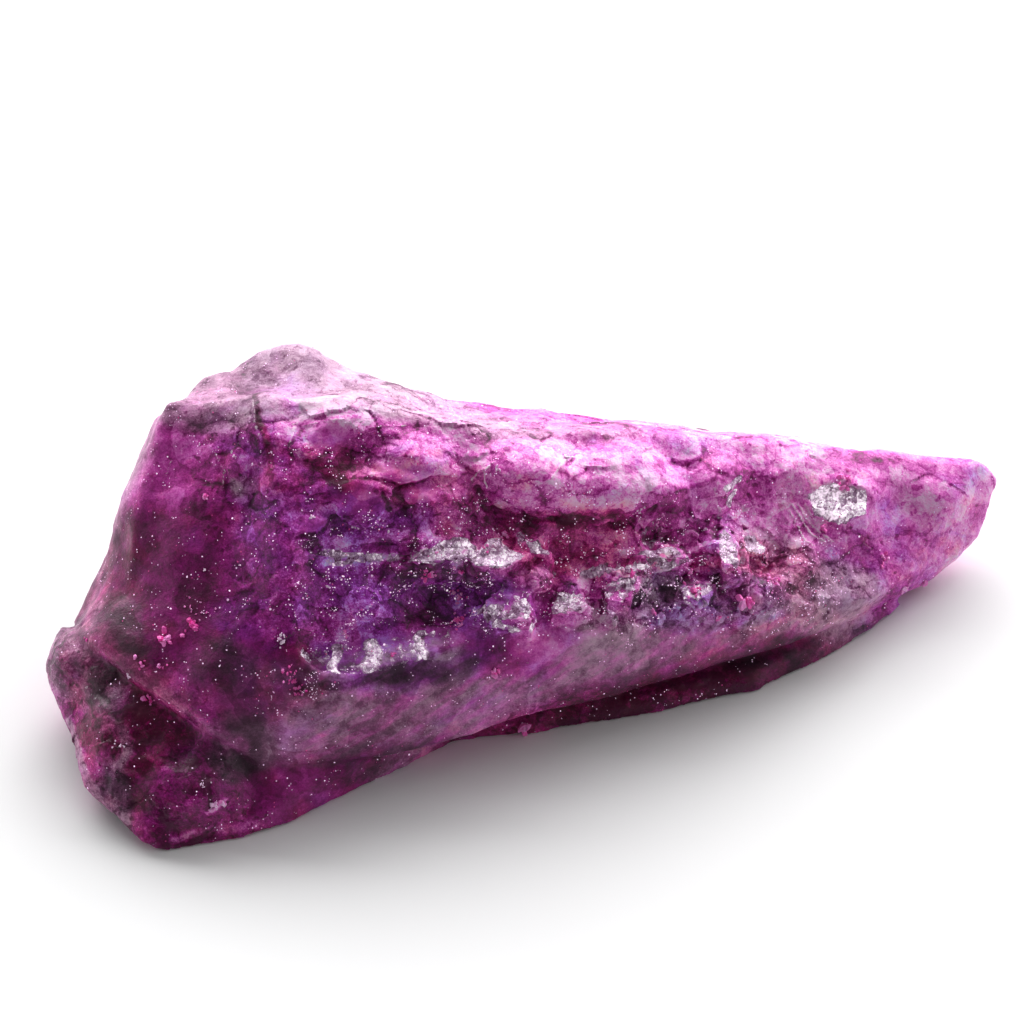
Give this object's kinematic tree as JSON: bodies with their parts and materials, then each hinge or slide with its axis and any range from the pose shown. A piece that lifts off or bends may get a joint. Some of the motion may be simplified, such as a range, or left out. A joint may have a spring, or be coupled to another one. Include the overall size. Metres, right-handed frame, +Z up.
{
  "type": "rough sapphire",
  "caption": "Broken wedge-shaped piece of rough sapphire, massive and opaque, that tapers from a blunt end to a tip and rests on its flat underside.",
  "frame": {"origin": "middle of the underside, at the centre of the bounding box's base", "axes": "+X from the thick end to the tip, +Y from the stepped front to the back, +Z up from the underside"},
  "size_m": [0.0608, 0.0298, 0.0176],
  "materials": {
    "sapphire_rough": "broken mineral, purple to pink, waxy gloss on the breaks"
  },
  "bodies": {
    "root": {"sapphire": "sapphire_rough"}
  },
  "joints": []
}
